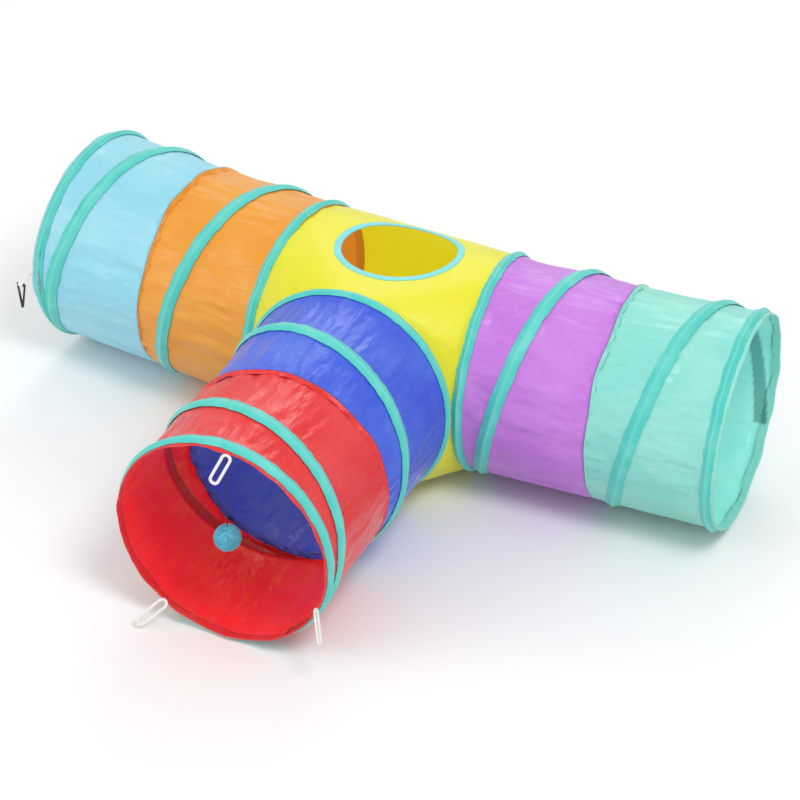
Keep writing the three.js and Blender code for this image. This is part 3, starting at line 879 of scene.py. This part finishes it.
def hub_wrinkles(points, normals):
    """Long soft pulls between the three doors, and puckers where the cloth meets each ring."""
    rng = np.random.default_rng(71)
    depth = np.zeros(len(points))
    for _ in range(26):
        wave = rng.normal(0, 1, 3) * np.array([1, 1, 0.7]) * rng.uniform(25, 75)
        depth += 0.13 * MM * np.cos(points @ wave + rng.uniform(0, TAU))
    for seed, arm in enumerate(ARMS):
        away = arm.inwards_of_ring(points)
        local = points - AXIS_HEIGHT * UP
        angle = np.arctan2(local @ arm.across, local @ UP)
        pucker = np.abs(ripples(90 + seed, 22, (22, 70), 1.0)(angle, 0.0))
        depth -= 0.4 * MM * pucker * np.exp(-np.maximum(away, 0) / (11 * MM))
        fan = np.abs(ripples(95 + seed, 12, (7, 20), 1.0)(angle, 0.0))
        depth -= 0.5 * MM * fan * np.exp(-np.maximum(away, 0) / (34 * MM))
    return points + normals * (depth - 0.3 * MM)[:, None]


def vertex_arrays(mesh):
    count = len(mesh.vertices)
    co, no = np.zeros(count * 3), np.zeros(count * 3)
    mesh.vertices.foreach_get("co", co)
    mesh.vertices.foreach_get("normal", no)
    return co.reshape(-1, 3), no.reshape(-1, 3)


def window_share(points, margin=0.0):
    """Below 1 inside the window's oval, grown by the margin."""
    c, s = math.cos(WINDOW_TURN), math.sin(WINDOW_TURN)
    x, y = (points[:, :2] - WINDOW_CENTRE).T
    along, across = c * x + s * y, -s * x + c * y
    return np.hypot(along / (WINDOW_HALF[0] + margin), across / (WINDOW_HALF[1] + margin))


def make_hub():
    form = hub_form()
    mesh = form.data
    points, normals = vertex_arrays(mesh)
    points = hub_wrinkles(points, normals)
    for arm in ARMS:
        away = arm.inwards_of_ring(points)
        local = points - AXIS_HEIGHT * UP
        flat = local - np.outer(local @ arm.out, arm.out)
        radius = np.linalg.norm(flat, axis=1)
        limit = CLOTH_RADIUS - 0.1 * MM + np.maximum(away, 0) * 1.3
        shrink = np.where((away < 25 * MM) & (radius > limit), limit / radius, 1.0)
        points = points - flat + flat * shrink[:, None]
    points[:, 2] = np.maximum(points[:, 2], 0.2 * MM)
    mesh.vertices.foreach_set("co", points.ravel())
    mesh.update()

    work = bmesh.new()
    work.from_mesh(mesh)
    for arm in ARMS:
        bmesh.ops.bisect_plane(work, geom=work.verts[:] + work.edges[:] + work.faces[:],
                               plane_co=arm.axis_point(arm.start + 2 * MM),
                               plane_no=Vector(arm.out + arm.lean * UP).normalized(),
                               clear_outer=True)
    bmesh.ops.recalc_face_normals(work, faces=work.faces[:])
    whole = BVHTree.FromBMesh(work)
    tops = [f for f in work.faces if f.calc_center_median().z > AXIS_HEIGHT]
    centres = np.array([f.calc_center_median() for f in tops])
    gone = [f for f, share in zip(tops, window_share(centres, 2.5 * MM)) if share < 1]
    bmesh.ops.delete(work, geom=gone, context="FACES")
    work.to_mesh(mesh)
    work.free()
    skin = form.modifiers.new("cloth", "SOLIDIFY")
    skin.thickness = CLOTH_THICKNESS
    skin.offset = -1
    apply_modifiers(form)
    form.name = "hub_cloth"
    mesh = form.data
    mesh.shade_smooth()
    points, normals = vertex_arrays(mesh)
    middle = np.array([0, 0, AXIS_HEIGHT])
    inside = ((points - middle) * normals).sum(1) < 0
    # Painted light: the hub's inner faces glow by `through`, standing in for daylight coming through the cloth.
    point_attribute(mesh, "through", inside * THROUGH["yellow"])
    finish_piece(form, "yellow", "hub", "hub_sleeve")
    return whole


def make_window(hub_surface):
    """Cyan tape folded over the window's edge, following the roof."""
    steps = 180
    u = np.arange(steps) * TAU / steps
    c, s = math.cos(WINDOW_TURN), math.sin(WINDOW_TURN)
    a, b = WINDOW_HALF
    local = np.stack([a * np.cos(u), b * np.sin(u)], -1)
    out = np.stack([b * np.cos(u), a * np.sin(u)], -1)
    out /= np.linalg.norm(out, axis=1)[:, None]
    spin = np.array([[c, s], [-s, c]])
    base, out = local @ spin + WINDOW_CENTRE, out @ spin
    profile = np.array([
        (7.5, 0.15), (7.35, 0.5), (6.6, 0.72), (5.7, 0.66), (5.1, 0.74), (3, 0.78), (1.2, 0.82),
        (0.2, 0.62), (-0.35, 0.2), (-0.5, -0.3), (-0.3, -0.8), (0.3, -1.2), (1.5, -1.35),
        (4, -1.3), (7.2, -1.2), (7.4, -0.8), (6.9, -0.6), (0.5, -0.6), (0.5, 0.1), (6.9, 0.1),
    ]) * MM
    wander = 0.25 * MM * ripples(31, 12, (3, 18), 1.0)(u, 0.0)
    points = np.zeros((steps, len(profile), 3))
    for i in range(steps):
        for j, (across, lift) in enumerate(profile):
            reach = across + wander[i] * (across > 5 * MM)
            place = base[i] + out[i] * max(reach, -0.2 * MM)
            hit = hub_surface.ray_cast(Vector((place[0], place[1], 0.4)), Vector((0, 0, -1)))
            edge = base[i] + out[i] * reach
            points[i, j] = (edge[0], edge[1], hit[0].z + lift)
    for j in range(len(profile)):
        column = points[:, j, 2]
        for _ in range(6):
            column = (np.roll(column, 1) + 2 * column + np.roll(column, -1)) / 4
        points[:, j, 2] = column
    faces = ring_faces(steps, len(profile), closed_rows=True, flip=True)
    uvs = strip_uv(faces, len(profile), steps, TAU * 60 * MM / steps, profile)
    tape = mesh_object("window_tape", points, faces, uvs)
    finish_piece(tape, "window_tape", "hub", "window_binding")


# ---- ties ------------------------------------------------------------------------------------

def softened(node, name, slot, width):
    """A moulded or sewn piece of the CAD shape with rounded edges, on the body of its name."""
    mesh = frame["nodes"][node].data.copy()
    made = bpy.data.objects.new(name, mesh)
    bpy.context.collection.objects.link(made)
    work = bmesh.new()
    work.from_mesh(mesh)
    bmesh.ops.remove_doubles(work, verts=work.verts[:], dist=0.01 * MM)
    bmesh.ops.dissolve_limit(work, angle_limit=math.radians(1), verts=work.verts[:],
                             edges=work.edges[:])
    work.to_mesh(mesh)
    work.free()
    bevel = made.modifiers.new("round", "BEVEL")
    bevel.width = width
    bevel.segments = 3
    bevel.limit_method = "ANGLE"
    bevel.angle_limit = math.radians(40)
    apply_modifiers(made)
    made.data.shade_smooth()
    finish_piece(made, slot, node, node)


def make_ties():
    for place in ("top", "right", "left"):
        softened(f"branch_tie_loop_{place}", f"branch_loop_{place}", "white_tape", 0.7 * MM)
    for place in ("front", "low", "high"):
        softened(f"left_tie_strap_{place}", f"left_strap_{place}", "white_tape", 0.25 * MM)
        softened(f"left_tie_hook_{place}", f"left_hook_{place}", "hook", 0.45 * MM)


# ---- CAD nodes that show as they are ---------------------------------------------------------

def paint_frame():
    slots = {row["node"]: row["material_slot"] for row in frame["record"]["subparts"]}
    for name, obj in frame["nodes"].items():
        obj.data.materials.clear()
        obj.data.materials.append(MATERIALS[slots[name]])


make_camera()
make_pompom()
make_light()
make_floor()
paint_frame()
for number, each in enumerate(ARMS):
    make_panels(each, 100 + 40 * number)
    make_tapes(each, 300 + 40 * number)
    seam_edge(each, "inner", 500 + number)
    seam_edge(each, "outer", 520 + number)
make_window(make_hub())
make_ties()
